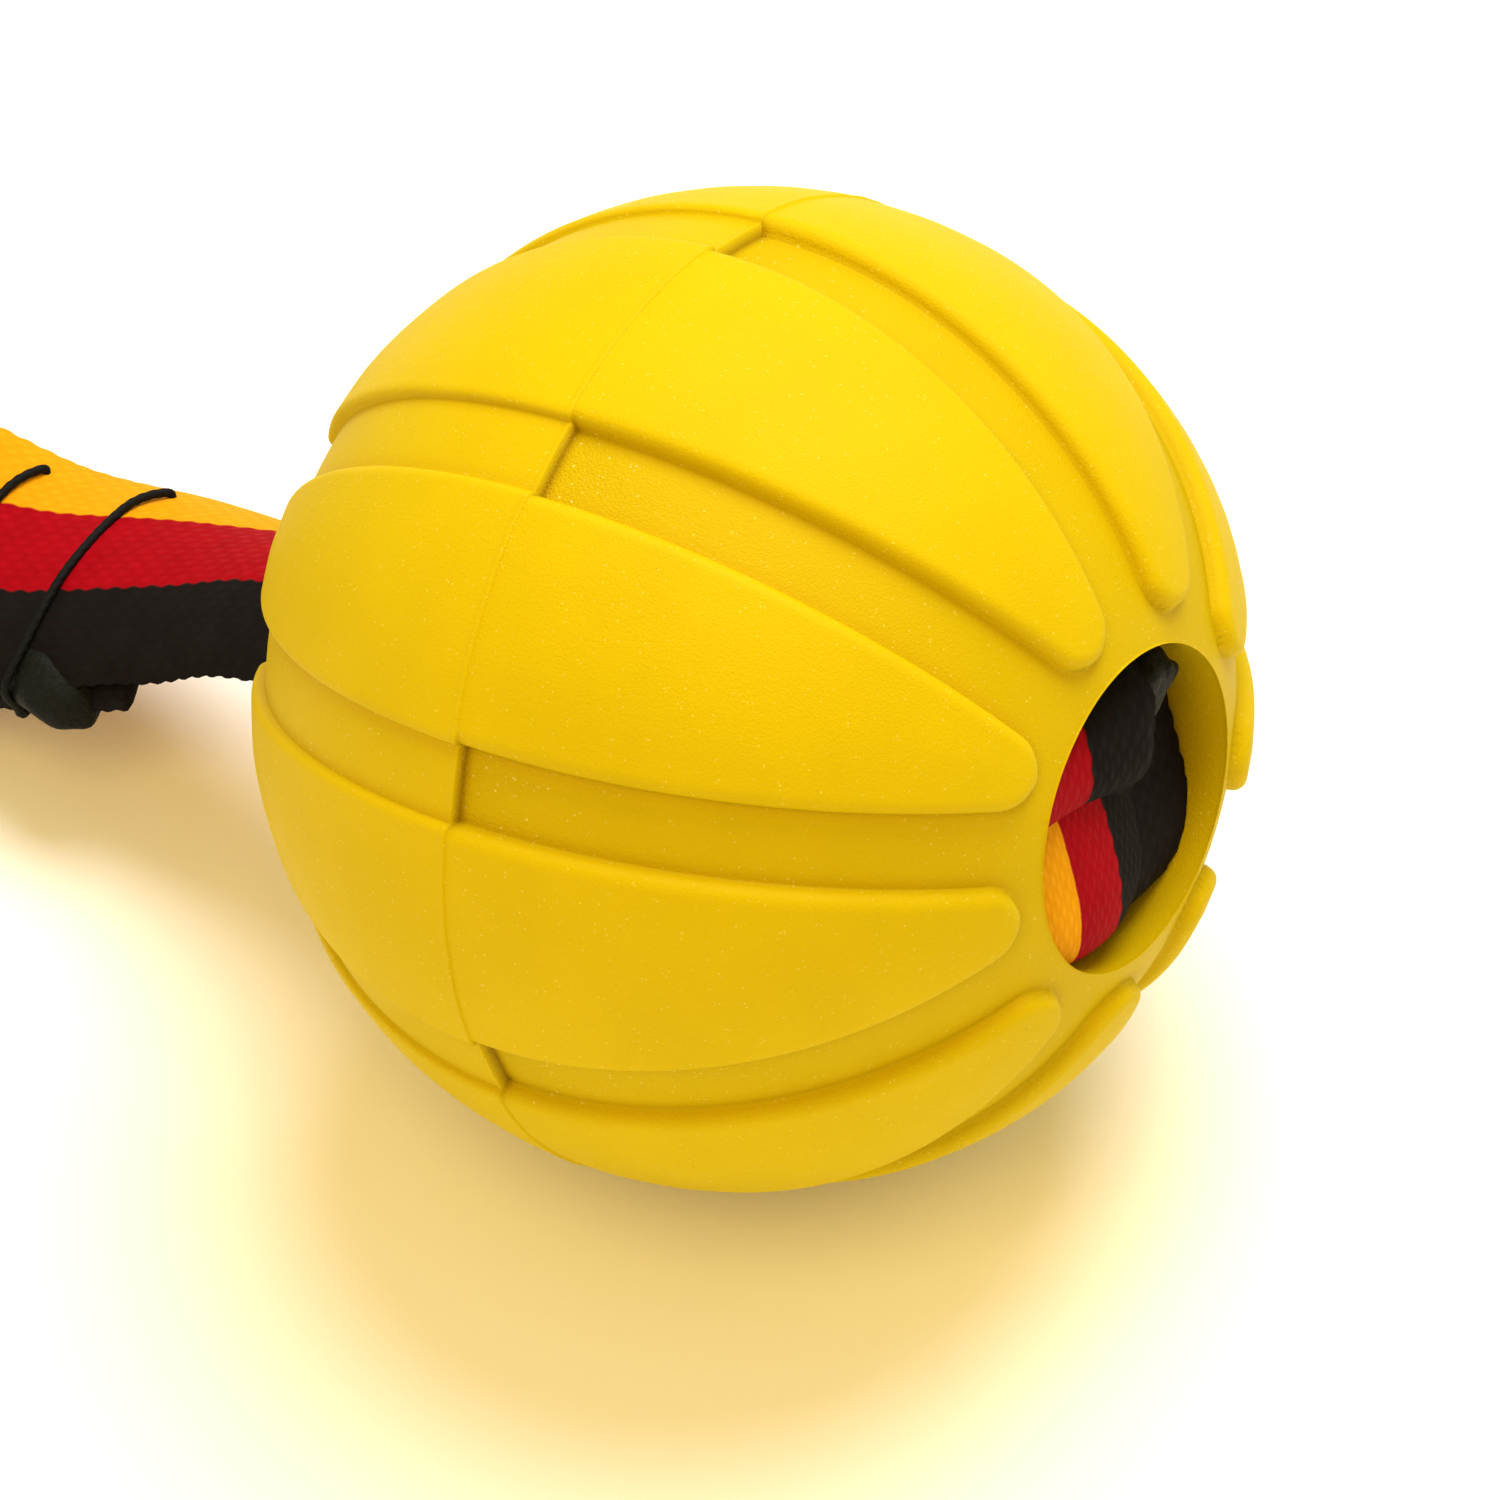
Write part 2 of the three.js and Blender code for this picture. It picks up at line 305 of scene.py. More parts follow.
strap = webbing_strip("webbing_strap", strap_at, strap_distance, strap_point)
under_layer = webbing_strip("under_layer", under_at, under_distance + strap_distance[-1], strap_point)
strap_line = along_route(ROUTE, strap_at)[:, :3] * MM
print("webbing_strap:", len(strap.data.polygons), "faces")

# %% [markdown]
# ## Neck
#
# Inside the bore the webbing is rolled almost into a tube, because the passage is narrower than the
# strap. It is a strip like the rest, and shows from behind the ball.

# %% Build the neck
neck_at, neck_distance = even_stations(ROUTE, 0.0, EXIT_AT - 0.02, 2 * STATION)
neck = webbing_strip("strap_neck_webbing", neck_at, neck_distance - neck_distance[-1], strap_point)
print("strap_neck_webbing:", len(neck.data.polygons), "faces")

# %% [markdown]
# ## Ball
#
# The ball has nine raised panels with a channel between each pair. A channel is equally wide all the
# way from mouth to mouth, so the panels between are lens-shaped. A plain globe grid would cut across
# their edges, so the grid's columns follow the channels: some lie across a channel's floor, some crowd
# over the wall and its rounded top at fixed distances from the foot, and the rest share the panel. The
# rows are parallels about the bore, and crowd at the parting line and at the panels' round ends. Each
# point is then pushed out from the centre by how far it lies inside a panel.

# %% The ball's rows and columns
PANELS = 9
CHANNEL_HALF = 2.6  # millimetres from a channel's middle to the foot of its wall
CHANNEL_LON = [90, 129.8, 168.9, 208.9, 249.6, 290, 330, 10, 50]
PARTING_LAT = -2.3  # the parting line, in degrees from the ball's middle
RIM_LAT = 69.6
PANEL_END_LAT = 65.8
END_ROUNDING = 2.2  # radius in millimetres of a panel's corners
SKIN_R = 32.0

wall_steps = np.array([0, 0.03, 0.07, 0.12, 0.18, 0.25, 0.34, 0.45, 0.58, 0.73, 0.9, 1.1, 1.35])
floor_shares = np.array([0.0, 0.45, 0.75, 0.91, 0.975])
panel_shares = np.array([0.12, 0.26, 0.42, 0.58, 0.74, 0.88])


def columns_at(lat):
    """Longitudes round the ball at one latitude, and each one's distance in mm from the channel foot."""
    ring = SKIN_R * math.cos(math.radians(lat))
    longitudes, depths = [], []
    for i in range(PANELS):
        left = CHANNEL_LON[i]
        right = CHANNEL_LON[(i + 1) % PANELS]
        span = (right - left) % 360
        foot = math.degrees(math.asin(CHANNEL_HALF / ring))
        panel = math.radians(span - 2 * foot) * ring
        squeeze = min(1.0, 0.45 * panel / wall_steps[-1])
        steps = wall_steps * squeeze
        middle = panel - 2 * steps[-1]
        across = np.concatenate([steps, steps[-1] + middle * panel_shares, panel - steps[::-1]])
        over_panel = left + foot + np.degrees(across / ring)
        longitudes.extend(left + foot * floor_shares)
        longitudes.extend(over_panel)
        longitudes.extend(left + span - foot * floor_shares[:0:-1])
        depths.extend(-CHANNEL_HALF * (1 - floor_shares))
        depths.extend(np.minimum(across, panel - across))
        depths.extend(-CHANNEL_HALF * (1 - floor_shares[:0:-1]))
    return longitudes, depths


def crowded(start, end, step):
    count = max(2, int(round(abs(end - start) / step)) + 1)
    return np.linspace(start, end, count)


latitudes = np.unique(
    np.round(
        np.concatenate(
            [
                crowded(-RIM_LAT, -57, 0.4),
                crowded(-57, PARTING_LAT - 1.6, 1.1),
                PARTING_LAT + np.array([-1.6, -1.1, -0.75, -0.55, -0.4, -0.28, -0.16, -0.03]),
                PARTING_LAT + np.array([0.03, 0.12, 0.25, 0.45, 0.8, 1.3, 1.8]),
                crowded(PARTING_LAT + 2, 57, 1.1),
                crowded(57, RIM_LAT, 0.4),
            ]
        ),
        4,
    )
)
longitudes, to_edge = (np.array(c) for c in zip(*(columns_at(lat) for lat in latitudes)))
print(longitudes.shape[1], "columns x", len(latitudes), "rows")


# %% How far out the ball's skin is
FRONT_TOP, FRONT_FLOOR = 32.38, 30.95
BACK_TOP, BACK_FLOOR = 32.5, 31.75
CROWN = 0.12  # how much higher a panel's middle is than its edges


def skin_radius(lat, to_edge):
    """Radius in millimetres at a latitude and a distance from the foot of the nearest wall."""
    to_end = np.radians(PANEL_END_LAT - np.abs(lat)) * SKIN_R
    qx, qy = END_ROUNDING - to_edge, END_ROUNDING - to_end
    outside = np.hypot(np.maximum(qx, 0), np.maximum(qy, 0)) + np.minimum(np.maximum(qx, qy), 0)
    inside = END_ROUNDING - outside
    front = lat > PARTING_LAT
    round_over = np.where(front, 1.15, 0.8)
    t = np.clip(inside / round_over, 0, 1)
    rise = (1 - (1 - t) ** 2.4) ** (1 / 2.4)
    crown = CROWN * smooth(inside, 0.8, 5)
    top_front = FRONT_TOP - 0.12 * smooth(lat, 30, 66)
    floor_back = BACK_FLOOR - 0.3 * smooth(-lat, 20, 60)
    top = np.where(front, top_front, BACK_TOP) - CROWN + crown
    floor = np.where(front, FRONT_FLOOR, floor_back)
    from_parting = lat - PARTING_LAT
    flash = np.where(front, 0.0, 0.045) * np.exp(-(((from_parting + 0.38) / 0.3) ** 4))
    lip = -0.02 * np.exp(-(((from_parting + 1.1) / 0.5) ** 2))
    return floor + (top - floor) * rise + flash + np.where(front, 0, lip), rise, inside


print("channels are", round(FRONT_TOP - FRONT_FLOOR, 2), "mm deep in front")


# %% Build the ball's mesh
RIM_ROUNDING = 0.7
POCKET_R = 10.9
PASSAGE_R = 7.6
FRONT_POCKET_X = 10.0
BACK_POCKET_X = -9.0
RIM_X = 29.4  # where the painted shade on the bore's wall begins
SHADE_DEPTH = 6  # millimetres further in to the painted shade's full depth
STEP_SHADE_SPREAD = 0.8  # degrees in front of the parting line that the end wall's painted shade covers
GRAIN_AND_GLINT_SPREAD = 9  # degrees over which the channels' coarser bump and painted glints fade


def rim_arc(sign, floor_r):
    """From the skin over the rounded rim into the pocket: x and radius."""
    rim = math.radians(RIM_LAT)
    edge = np.array([floor_r * math.sin(rim), floor_r * math.cos(rim)])
    points = []
    for t in np.linspace(0, 1, 9)[1:]:
        a = t * math.pi / 2 * 0.95
        x = edge[0] + 0.28 * RIM_ROUNDING * math.sin(2 * a) - RIM_ROUNDING * (1 - math.cos(a))
        r = edge[1] - (edge[1] - POCKET_R) * math.sin(a)
        points.append((sign * x, r))
    return points


lat_grid = latitudes[:, None].repeat(longitudes.shape[1], axis=1)
radius, rise, inside = skin_radius(lat_grid, to_edge)
outer_x = radius * np.sin(np.radians(lat_grid))
outer_r = radius * np.cos(np.radians(lat_grid))
front_rim = rim_arc(1, radius[-1, 0])
back_rim = rim_arc(-1, radius[0, 0])
bore_profile = [
    *front_rim,
    (24, POCKET_R),
    (17, POCKET_R),
    (FRONT_POCKET_X + 0.6, POCKET_R),
    (FRONT_POCKET_X, POCKET_R - 0.6),
    (FRONT_POCKET_X, PASSAGE_R + 0.6),
    (FRONT_POCKET_X - 0.6, PASSAGE_R),
    (0, PASSAGE_R),
    (BACK_POCKET_X, PASSAGE_R),
    (BACK_POCKET_X - 2, PASSAGE_R + 1.6),
    (BACK_POCKET_X - 4, POCKET_R),
    (-20, POCKET_R),
    *back_rim[::-1],
]
inner = np.array(bore_profile)[:, None, :].repeat(longitudes.shape[1], axis=1)
x = np.vstack([outer_x, inner[..., 0]])
r = np.vstack([outer_r, inner[..., 1]])
turn = np.radians(np.vstack([longitudes, longitudes[-1:].repeat(len(bore_profile), axis=0)]))
ball_points = seat(np.stack([x, r * np.cos(turn), r * np.sin(turn)], axis=-1)) * MM
no_bore = np.zeros(rise.shape)
no_skin = np.zeros(inner.shape[:2])
on_front = lat_grid > PARTING_LAT
front_channel = on_front * (1 - rise)
after_parting = np.maximum(lat_grid - PARTING_LAT, 0)
# On the back half the channels count as partly raised, which gives them less painted shade.
raised = np.vstack([np.where(on_front, rise, 0.6 + 0.4 * rise), no_skin])
near_edge = np.vstack([np.clip(inside, -3, 6), no_skin - 3])
step_shade = np.vstack([front_channel * np.exp(-((after_parting / STEP_SHADE_SPREAD) ** 2)), no_skin])
# One mask for the front channels: it makes their bump coarser and their painted glints brighter.
grain_and_glint = np.vstack([front_channel * np.exp(-after_parting / GRAIN_AND_GLINT_SPREAD), no_skin])
# Mask for the painted shade on the bore's wall, from none at the rim to full further in.
bore_shade = np.vstack([no_bore, np.clip((RIM_X - np.abs(inner[..., 0])) / SHADE_DEPTH, 0, 1)])
ball = grid_mesh(
    "rubber_ball",
    ball_points,
    closed_rows=True,
    marks={"raised": raised, "from_edge": near_edge, "bore": bore_shade, "step_shade": step_shade, "grain_and_glint": grain_and_glint},
)
print("rubber_ball:", len(ball.data.polygons), "faces")

# %% [markdown]
# ## Knot
#
# The strap's front end is tied and pulled into the pocket. Three turns of it show in the mouth: a flap
# that stands upright with its face to the front, a turn above it that the flap tucks under, and a fold
# that fills the far side. Each is a strip of the same webbing, placed by a few rows, and whatever would
# go past the pocket's wall is pressed against it.

# %% A strip that follows rows of point, across direction and arch
def knot_frames(rows, at):
    """rows: x, y, z, then the across direction x, y, z, then the arch in degrees over the width."""
    row = along_route(rows, at)
    step = 1e-3
    ahead = unit(along_route(rows, at + step)[:, :3] - along_route(rows, at - step)[:, :3])
    across = row[:, 3:6]
    across = unit(across - ahead * np.sum(across * ahead, axis=1, keepdims=True))
    face = np.cross(across, ahead)
    bend = np.radians(row[:, 6]) / STRAP_W
    bend = np.where(np.abs(bend) < 1e-6, 1e-6, bend)
    return row[:, :3], across, face, bend


PRESS = 0.12  # how far inside the pocket's radius the webbing is pressed


def knot_strip(name, rows, start_distance=0.0, squeeze=1.0):
    """squeeze is how much of its width the webbing keeps: under 1 it is pleated, over 1 stretched."""
    at, distance = even_stations(np.array(rows, float), 0, len(rows) - 1, STATION)

    def to_points(places, u, w):
        middle, across, face, bend = knot_frames(rows, places)
        turn = bend * u
        sideways = (np.sin(turn) / bend + w * np.sin(turn))[:, None]
        outward = (w * np.cos(turn) - (1 - np.cos(turn)) / bend)[:, None]
        points = middle + across * sideways * squeeze + face * outward
        reach = np.linalg.norm(points[:, 1:], axis=1, keepdims=True)
        points[:, 1:] *= np.minimum(1, (POCKET_R - PRESS) / reach)
        return seat(points)

    return webbing_strip(name, at, distance + start_distance, to_points)


# Rows are in millimetres from the ball's centre, with the black edge towards +Y.
LOWER_FLAP = [
    (14.0, -2.9, -7.2, 0, 1, 0.0, 80),
    (19.0, -3.0, -8.2, 0, 1, 0.0, 78),
    (24.0, -3.1, -9.2, 0, 1, 0.0, 60),
    (27.2, -3.1, -8.6, 0, 1, 0.0, 40),
    (27.9, -3.2, -6.0, 0, 1, 0.02, 24),
    (27.2, -3.3, -2.4, 0, 1, 0.04, 18),
    (26.0, -3.5, 1.4, 0, 1, 0.05, 18),
    (24.9, -3.5, 4.2, 0, 1, 0.05, 24),
    (23.4, -2.7, 6.8, 0, 1, 0.05, 40),
    (20.0, -2.1, 8.0, 0, 1, 0.05, 60),
]
UPPER_TURN = [
    (13.0, -4.6, 8.0, 0, 1, 0.0, 60),
    (18.0, -5.2, 8.2, 0, 1, 0.0, 60),
    (22.6, -6.2, 7.8, 0, 1, 0.0, 64),
    (26.1, -6.8, 6.4, 0, 1, 0.0, 50),
    (27.1, -7.0, 4.0, 0, 1, 0.0, 34),
    (26.9, -7.0, 2.3, 0, 1, 0.0, 34),
    (25.2, -6.8, 1.7, 0, 1, 0.0, 40),
    (22.0, -5.8, 2.8, 0, 1, 0.0, 60),
]
SIDE_FOLD = [
    (18.0, -2.4, -8.0, 0, 1, 0.0, 60),
    (24.0, -2.4, -9.0, 0, 1, 0.0, 40),
    (26.6, -2.4, -8.0, 0, 1, 0.0, 20),
    (26.7, -2.4, -5.0, 0, 1, 0.0, 10),
    (25.6, -2.4, -1.0, 0, 1, 0.0, 8),
    (24.6, -2.4, 2.6, 0, 1, 0.0, 8),
    (24.0, -2.4, 5.8, 0, 1, 0.0, 14),
    (22.2, -2.4, 8.0, 0, 1, 0.0, 30),
    (18.0, -2.4, 8.6, 0, 1, 0.0, 60),
]
lower_flap = knot_strip("knot_lower_flap", LOWER_FLAP, squeeze=0.7)
side_fold = knot_strip("knot_side_fold", SIDE_FOLD, 70.0, squeeze=1.35)
upper_turn = knot_strip("knot_upper_turn", UPPER_TURN, 31.0)
for turn_of_knot in (lower_flap, side_fold, upper_turn):
    print(turn_of_knot.name, len(turn_of_knot.data.polygons), "faces")

# %% [markdown]
# ## Thread and melted ends
#
# The sewing is thick twisted thread. Each stitch comes up through the pale stripe, slants across the
# face, turns round the black edge and goes back underneath. A thread of three strands is a tube whose
# outline has three lobes that turn as it runs, which catches light like the real twist.

# %% A twisted thread along a path
THREAD_R = 0.3


def resample(points, spacing):
    points = np.asarray(points, float)
    fine = along_route(points, np.linspace(0, len(points) - 1, 60 * len(points)))
    length = np.concatenate([[0], np.cumsum(np.linalg.norm(np.diff(fine, axis=0), axis=1))])
    count = max(8, int(length[-1] / spacing))
    want = np.linspace(0, length[-1], count)
    return np.stack([np.interp(want, length, fine[:, k]) for k in range(3)], axis=1), want


def thread(name, path, radius=THREAD_R, sides=15, twist=1.5, taper=0.5):
    """path in millimetres. The frame is carried along the path, so the twist is even."""
    line, distance = resample(path, 0.16)
    ahead = unit(np.gradient(line, axis=0))
    side = np.zeros_like(line)
    start = np.cross(ahead[0], [0.3, 0.5, 0.8])
    side[0] = start / np.linalg.norm(start)
    for i in range(1, len(line)):
        v = side[i - 1] - ahead[i] * np.dot(side[i - 1], ahead[i])
        side[i] = v / np.linalg.norm(v)
    up = np.cross(ahead, side)
    a = np.linspace(0, 2 * math.pi, sides, endpoint=False)[None, :]
    lobes = 1 + 0.2 * np.abs(np.cos(1.5 * (a - twist * distance[:, None] / radius / 2)))
    ends = np.minimum(distance, distance[-1] - distance)
    r = radius * 0.9 * lobes * (taper + (1 - taper) * smooth(ends, 0, 0.5))[:, None]
    ring = side[:, None] * np.cos(a)[..., None] + up[:, None] * np.sin(a)[..., None]
    points = line[:, None] + r[..., None] * ring
    return grid_mesh(name, points * MM)


def stitch_path(at):
    over = STRAP_T / 2 + THREAD_R * 0.8
    edge = STRAP_W / 2 + THREAD_R + 0.25
    slant = 0.5
    top = [
        (0, -6.9, 0.2),
        (0.0, -6.8, over),
        (0.25, -4, over + 0.05),
        (0.5, 2, over + 0.05),
        (0.75, 7, over),
        (0.93, edge - 0.6, over - 0.1),
    ]
    rows = [(at + slant * k, u, w) for k, u, w in top]
    under = [(min(BACK_FROM + LOOP_FROM - a, END_AT), u, w) for a, u, w in rows[::-1]]
    rows = [*rows, (at + slant, edge + 0.35, -LAYER_PITCH / 2), *under]
    a, u, w = (np.array(c) for c in zip(*rows))
    return strap_point(a, u, w)


STITCHES = 5
stitches = []
for i in range(STITCHES):
    stitches.append(thread(f"stitch_thread_{i + 1}", stitch_path(SEWN_FROM + 0.3 + i * 0.8)))
print("stitches:", len(stitches))

# %% A lump of melted webbing
def melted_lump(name, centre, radii, seed):
    """A ball of the given radii with rounded bumps; all lengths are in millimetres."""
    mesh = bpy.data.meshes.new(name)
    bm = bmesh.new()
    bmesh.ops.create_icosphere(bm, subdivisions=5, radius=1.0)
    rng = np.random.default_rng(seed)
    bumps = unit(rng.normal(size=(26, 3)))
    sizes = rng.uniform(0.04, 0.18, 26)
    for v in bm.verts:
        p = np.array(v.co)
        grow = 1 + sum(s * math.exp(-((1 - float(p @ b)) / 0.05)) for s, b in zip(sizes, bumps))
        v.co = Vector(p * grow * np.array(radii) * MM)
    bm.to_mesh(mesh)
    bm.free()
    mesh.polygons.foreach_set("use_smooth", [True] * len(mesh.polygons))
    piece = bpy.data.objects.new(name, mesh)
    bpy.context.collection.objects.link(piece)
    piece.location = Vector(centre) * MM
    return piece


tail_lump = melted_lump("tail_end_lump", seat((26.7, 3.9, 6.2)), (1.5, 2.9, 2.1), 11)
end_centre = strap_point(np.array([END_AT - 0.5]), [8.3], [-0.4])[0]
sealed_lump = melted_lump("sealed_end_lump", end_centre, (3.4, 2.6, 2.3), 7)

# %% [markdown]
# ## Writing finishes as sums
#
# A finish is a graph of nodes. Written as sums and products it is easier to read, so one small class
# wraps a socket and turns Python's operators into Math nodes. Everything else goes through node().

# %% Sockets that take arithmetic
class Value:
    def __init__(self, finish, socket):
        self.finish, self.socket = finish, socket

    def math(self, operation, *others, first=None):
        values = [self if first is None else first, *others]
        return self.finish.node("ShaderNodeMath", {"operation": operation}, values)

    def __add__(self, other):
        return self.math("ADD", other)

    def __sub__(self, other):
        return self.math("SUBTRACT", other)

    def __mul__(self, other):
        return self.math("MULTIPLY", other)

    def __truediv__(self, other):
        return self.math("DIVIDE", other)

    def __rsub__(self, other):
        return self.math("SUBTRACT", self, first=other)

    __radd__ = __add__
    __rmul__ = __mul__

    def clamp(self):
        return self.finish.node("ShaderNodeClamp", {}, [self])

    def between(self, low, high):
        """0 below low, 1 above high and smooth between them."""
        return self.finish.node(
            "ShaderNodeMapRange",
            {"interpolation_type": "SMOOTHSTEP"},
            {"Value": self, "From Min": low, "From Max": high},
        )


class Finish:
    """A material under construction: node() adds a node and mix() blends two colours."""

    def __init__(self, name, **constants):
        self.material = bpy.data.materials.new(name)
        self.material.use_nodes = True
        self.tree = self.material.node_tree
        self.shader = self.tree.nodes["Principled BSDF"]
        for socket, value in constants.items():
            self.shader.inputs[socket.replace("_", " ")].default_value = value

    def node(self, kind, settings, inputs, output=0):
        node = self.tree.nodes.new(kind)
        for key, value in settings.items():
            setattr(node, key, value)
        pairs = inputs.items() if isinstance(inputs, dict) else enumerate(inputs)
        for key, value in pairs:
            if isinstance(value, Value):
                self.tree.links.new(value.socket, node.inputs[key])
            else:
                node.inputs[key].default_value = value
        return Value(self, node.outputs[output])

    def mix(self, amount, first, second):
        return self.node(
            "ShaderNodeMix", {"data_type": "RGBA"}, {0: amount, 6: first, 7: second}, output=2
        )

    def noise(self, scale, detail, roughness, vector):
        inputs = {"Scale": scale, "Detail": detail, "Roughness": roughness, "Vector": vector}
        return self.node("ShaderNodeTexNoise", {}, inputs)

    def cells(self, scale, vector):
        return self.node("ShaderNodeTexVoronoi", {}, {"Scale": scale, "Vector": vector})

    def place(self):
        return self.node("ShaderNodeTexCoord", {}, [], output=3)

    def mark(self, name, output=2):
        return self.node("ShaderNodeAttribute", {"attribute_name": name}, [], output=output)

    def split(self, vector):
        node = self.tree.nodes.new("ShaderNodeSeparateXYZ")
        self.tree.links.new(vector.socket, node.inputs[0])
        return [Value(self, s) for s in node.outputs]

    def join(self, x, y, z):
        return self.node("ShaderNodeCombineXYZ", {}, [x, y, z])

    def set(self, socket, value):
        self.tree.links.new(value.socket, self.shader.inputs[socket])

    def bump(self, height, distance, strength=1.0):
        normal = self.node(
            "ShaderNodeBump", {}, {"Height": height, "Distance": distance, "Strength": strength}
        )
        self.set("Normal", normal)


def rgb(red, green, blue):
    return (red, green, blue, 1.0)


# %% [markdown]
# ## Rubber
#
# The rubber is dyed through, with a satin skin that copies the fine blasted texture of the mould. So the
# bump is a fine pebble, not a smooth gloss. Shade is painted into the yellow: a little darker in the
# channels and at the foot of their walls, much darker inside the bore, and dark on the small end wall in
# front of the parting line. Pale specks are painted on as glints, brightest on the coarser channel floors
# there.

# %% Make the rubber
rubber = Finish("ball_rubber", Roughness=0.5, Specular_IOR_Level=0.06)
place = rubber.place()
raised_mark = rubber.mark("raised")
edge_mark = rubber.mark("from_edge")
bore_shade_mark = rubber.mark("bore")
cloud = rubber.noise(90.0, 3.0, 0.55, place)
pebble = rubber.noise(6000.0, 2.0, 0.6, place)
speck = rubber.cells(2600.0, place)
base = rubber.mix(cloud.between(0.3, 0.7), rgb(0.59, 0.425, 0.0), rgb(0.625, 0.45, 0.0))
# Painted shade: the colour is darker along the foot of each panel's wall.
crease_shade = (1.0 - edge_mark.between(-0.35, 0.25)) * edge_mark.between(-1.2, -0.2)
base = rubber.mix((crease_shade * 0.35).clamp(), base, rgb(0.55, 0.33, 0.0))
# Painted shade: much darker inside the bore.
base = rubber.mix((bore_shade_mark * 0.85).clamp(), base, rgb(0.24, 0.10, 0.0))
# Painted shade: the channels' floors are darker than the panels.
floor_shade = (1.0 - raised_mark) * (1.0 - bore_shade_mark)
base = rubber.mix((floor_shade * 0.3).clamp(), base, rgb(0.45, 0.31, 0.0))
# Painted glints: small pale specks over the whole skin, which are also made less rough.
sparkle = (1.0 - speck.between(0.08, 0.26)) * rubber.noise(1500.0, 0.0, 0.5, place).between(0.52, 0.68)
base = rubber.mix((sparkle * 0.25).clamp(), base, rgb(1.0, 0.9, 0.25))
# Painted glints: brighter specks on the front channels' floors near the parting line.
grain_and_glint_mark = rubber.mark("grain_and_glint")
glint = sparkle * (grain_and_glint_mark * 0.6)
base = rubber.mix(glint.clamp(), base, rgb(1.0, 0.93, 0.45))
# Painted shade: a dark band on the small end wall where the front channels start at the parting line.
base = rubber.mix((rubber.mark("step_shade") * 0.75).clamp(), base, rgb(0.26, 0.14, 0.0))
rubber.set("Base Color", base)
rubber.set("Roughness", 0.62 - 0.12 * cloud - 0.25 * sparkle)
rubber.bump(pebble * (1.0 + grain_and_glint_mark * 2.0), 0.00005)
print("ball_rubber:", len(rubber.tree.nodes), "nodes")

# %% [markdown]
# ## Webbing
#
# Three bands of warp yarn, black, red and gold, cross a hidden weft. Each warp yarn dives under a weft
# every other rib, so the surface is a brick pattern of small ovals. The colour bands are set by the
# place across the cloth, with an edge that steps from yarn to yarn.

# %% Make the webbing
YARN = 0.62  # millimetres from yarn to yarn


def webbing_finish():
    cloth = Finish("webbing", Roughness=0.8, Specular_IOR_Level=0.06)
    along, across, _ = cloth.split(cloth.mark("cloth", output=1))
    yarn = across / YARN
    row = along / RIB
    brick = yarn.math("FLOOR").math("MODULO", 2.0).math("ABSOLUTE")
    lift = (row + brick * 0.5).math("MULTIPLY", 2 * math.pi).math("COSINE") * 0.5 + 0.5
    across_yarn = 1.0 - (yarn.math("FRACT") * 2.0 - 1.0).math("ABSOLUTE")
    oval = (lift * across_yarn.math("POWER", 0.5)).clamp()
    row_number = cloth.join(row.math("FLOOR"), 0.0, 0.0)
    step_noise = cloth.node("ShaderNodeTexWhiteNoise", {"noise_dimensions": "2D"}, {"Vector": row_number})
    shifted = across + (lift - 0.5) * 0.14 + (step_noise - 0.5) * 0.1
    is_black = shifted.between(3.2, 3.42)
    is_gold = 1.0 - shifted.between(-3.42, -3.2)
    wobble = cloth.noise(400.0, 2.0, 0.6, cloth.place())
    red = cloth.mix(wobble, rgb(0.27, 0.0, 0.005), rgb(0.38, 0.001, 0.008))
    gold = cloth.mix(wobble, rgb(0.72, 0.29, 0.002), rgb(0.82, 0.36, 0.004))
    black = cloth.mix(wobble, rgb(0.003, 0.003, 0.004), rgb(0.008, 0.009, 0.010))
    colour = cloth.mix(is_gold, cloth.mix(is_black, red, black), gold)
    # Painted shade: the colour darkens between the yarn ovals, where each yarn dives under the weft.
    shade = cloth.mix((1.0 - oval) * 0.12, colour, rgb(0.02, 0.0, 0.0))
    cloth.set("Base Color", shade)
    cloth.set("Roughness", 0.85 - 0.15 * oval)
    cloth.bump(oval + wobble * 0.3, 0.00005)
    return cloth.material


webbing = webbing_finish()
print("webbing:", len(webbing.node_tree.nodes), "nodes")

# %% Make the thread and the melted ends
twine = Finish("sewing_thread", Roughness=0.6, Specular_IOR_Level=0.08)
fuzz = twine.noise(6000.0, 2.0, 0.6, twine.place())
twine.set("Base Color", twine.mix(fuzz, rgb(0.002, 0.002, 0.003), rgb(0.009, 0.010, 0.012)))
twine.bump(fuzz, 0.00004)
melted = Finish("melted_webbing", Roughness=0.35, Specular_IOR_Level=0.12)
lumps = melted.noise(1500.0, 3.0, 0.6, melted.place())
melted.set("Base Color", melted.mix(lumps, rgb(0.001, 0.001, 0.001), rgb(0.008, 0.010, 0.009)))
melted.set("Roughness", 0.4 + 0.4 * lumps)
melted.bump(lumps, 0.00025)
print("thread and melted webbing:", len(twine.tree.nodes), len(melted.tree.nodes), "nodes")

# %% [markdown]
# ## Fitting the pieces to the part
#
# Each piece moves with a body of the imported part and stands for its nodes. The ball turns on the strap,
# so the ball is one body and the strap with all that is sewn to it is the other.

# %% Say what each piece rides on and replaces
def fit(piece, material, slot, body, *nodes):
    piece.data.materials.clear()
    piece.data.materials.append(material)
    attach(piece, body)
    if nodes:
        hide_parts(*nodes)


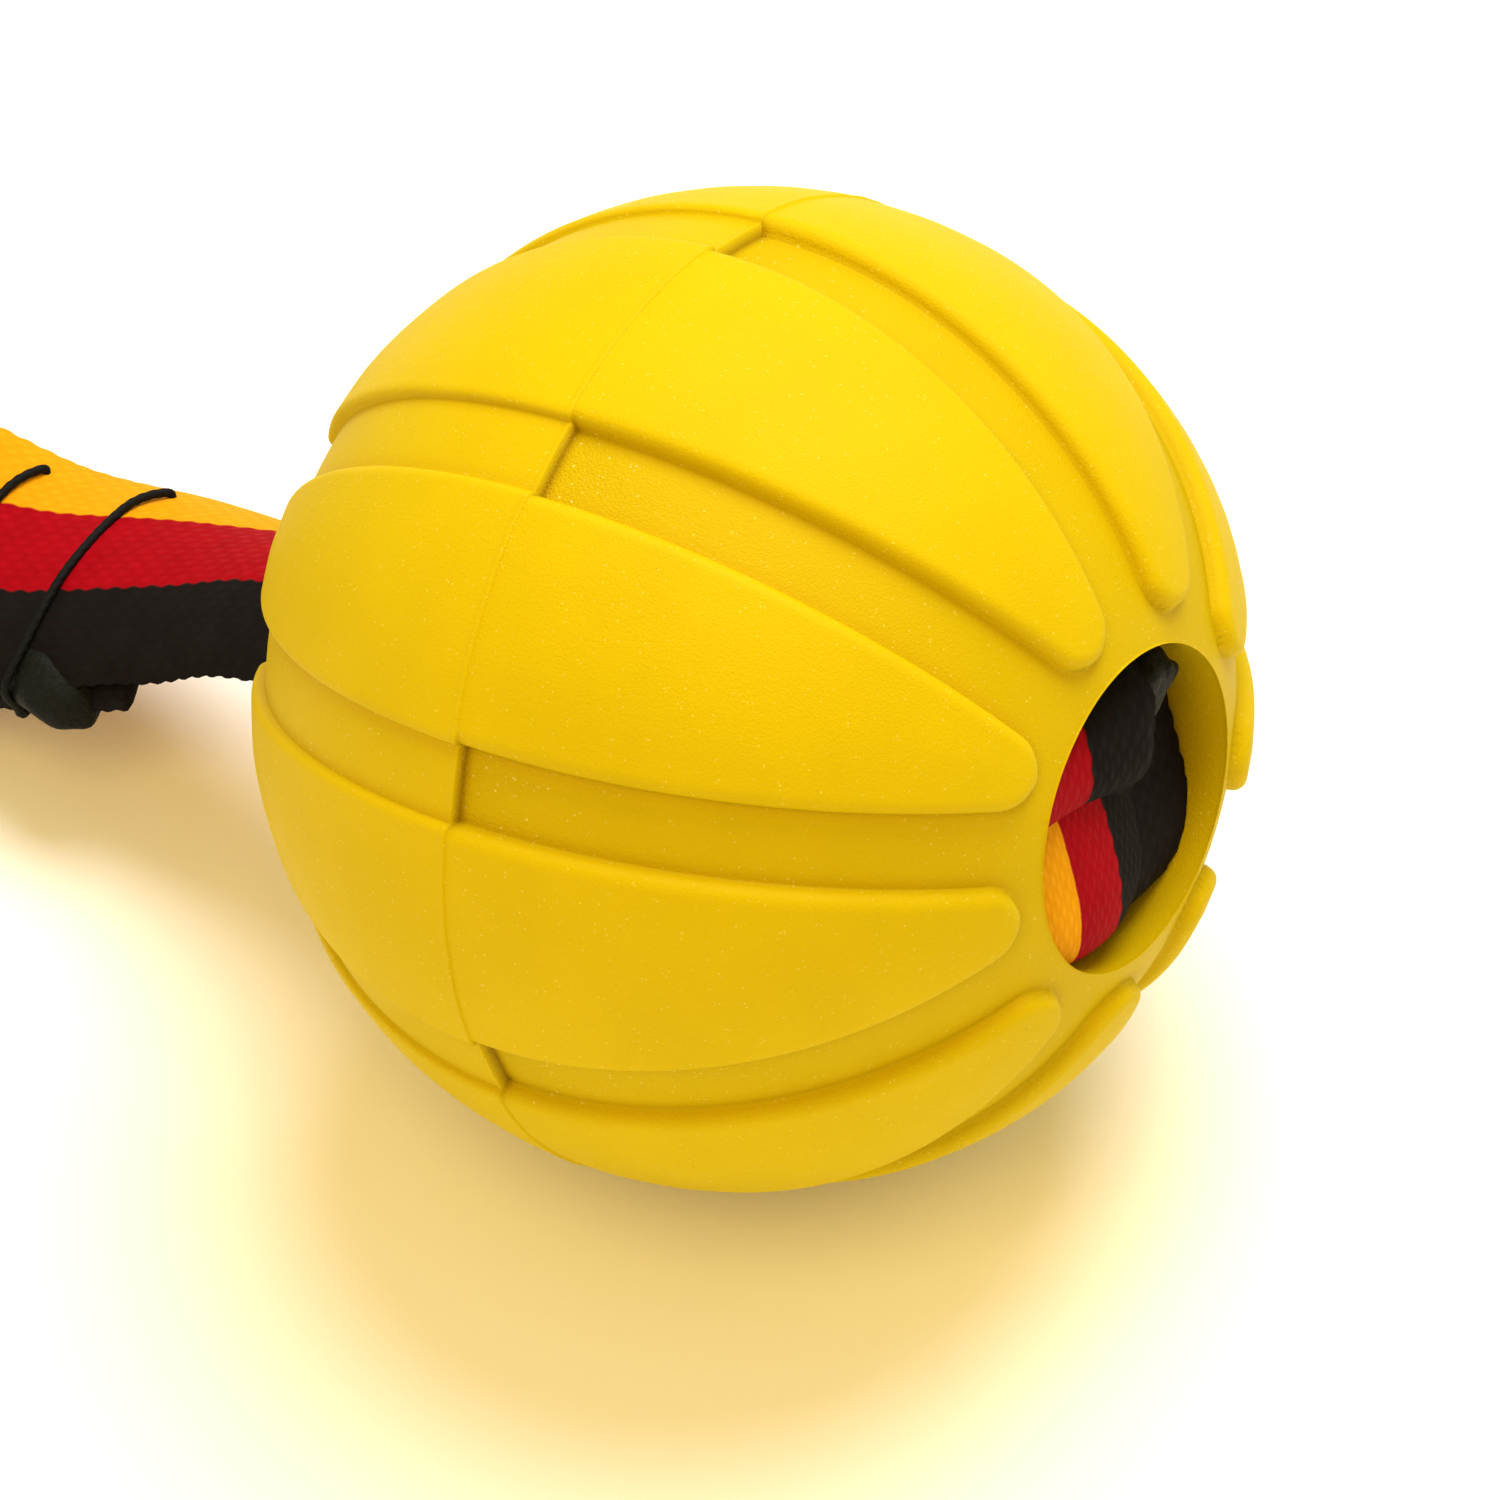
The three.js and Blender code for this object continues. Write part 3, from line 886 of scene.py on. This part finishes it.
fit(strap, webbing, "webbing", "strap", "strap_top_layer", "hand_loop")
fit(under_layer, webbing, "webbing", "strap", "strap_bottom_layer")
fit(neck, webbing, "webbing", "strap", "strap_neck")
fit(ball, rubber.material, "ball_rubber", "ball", "ball_body")
fit(lower_flap, webbing, "webbing", "strap", "strap_knot")
fit(upper_turn, webbing, "webbing", "strap", "strap_knot")
fit(side_fold, webbing, "webbing", "strap", "strap_knot")
for i, stitch in enumerate(stitches):
    fit(stitch, twine.material, "thread", "strap", f"stitch_{i + 1}")
fit(tail_lump, melted.material, "melted_webbing", "strap", "strap_tail_end")
fit(sealed_lump, melted.material, "melted_webbing", "strap", "sealed_end")
strap_line[::10].tolist() + [strap_line[-1].tolist()]

# %% [markdown]
# ## Floor and light
#
# One large white lamp, high up and a little behind, makes the soft shadow that falls towards the viewer.
# The surround and a weaker lamp in front are warm, because the yellow ball and the pale paper throw warm
# light at each other, and that is what fills the shadows.

# %% Floor, surround and lamps
bpy.ops.mesh.primitive_plane_add(size=6)
floor = bpy.context.object
floor.name = "floor"
floor_finish = Finish("floor_paper", Roughness=0.9)
floor_finish.shader.inputs["Base Color"].default_value = rgb(1.0, 1.0, 1.0)
floor.data.materials.append(floor_finish.material)

world = bpy.data.worlds.new("surround")
bpy.context.scene.world = world
world.use_nodes = True
world.node_tree.nodes["Background"].inputs["Color"].default_value = rgb(1.0, 0.86, 0.50)
world.node_tree.nodes["Background"].inputs["Strength"].default_value = 0.68


def lamp(name, place, aim, size, power, colour):
    data = bpy.data.lights.new(name, "AREA")
    data.shape = "DISK"
    data.size = size
    data.energy = power
    data.color = colour
    light = bpy.data.objects.new(name, data)
    bpy.context.collection.objects.link(light)
    light.location = place
    light.rotation_euler = (Vector(place) - Vector(aim)).to_track_quat("Z", "Y").to_euler()
    return light


lamp("softbox", (-0.06, 0.31, 0.80), (0, 0, 0.0), 0.62, 7.6, (1.0, 1.0, 1.0))
lamp("warm_fill", (0.15, -0.55, 0.85), (0, -0.03, 0.0), 0.5, 3.6, (1.0, 0.66, 0.14))
bpy.context.scene.view_settings.view_transform = "Standard"
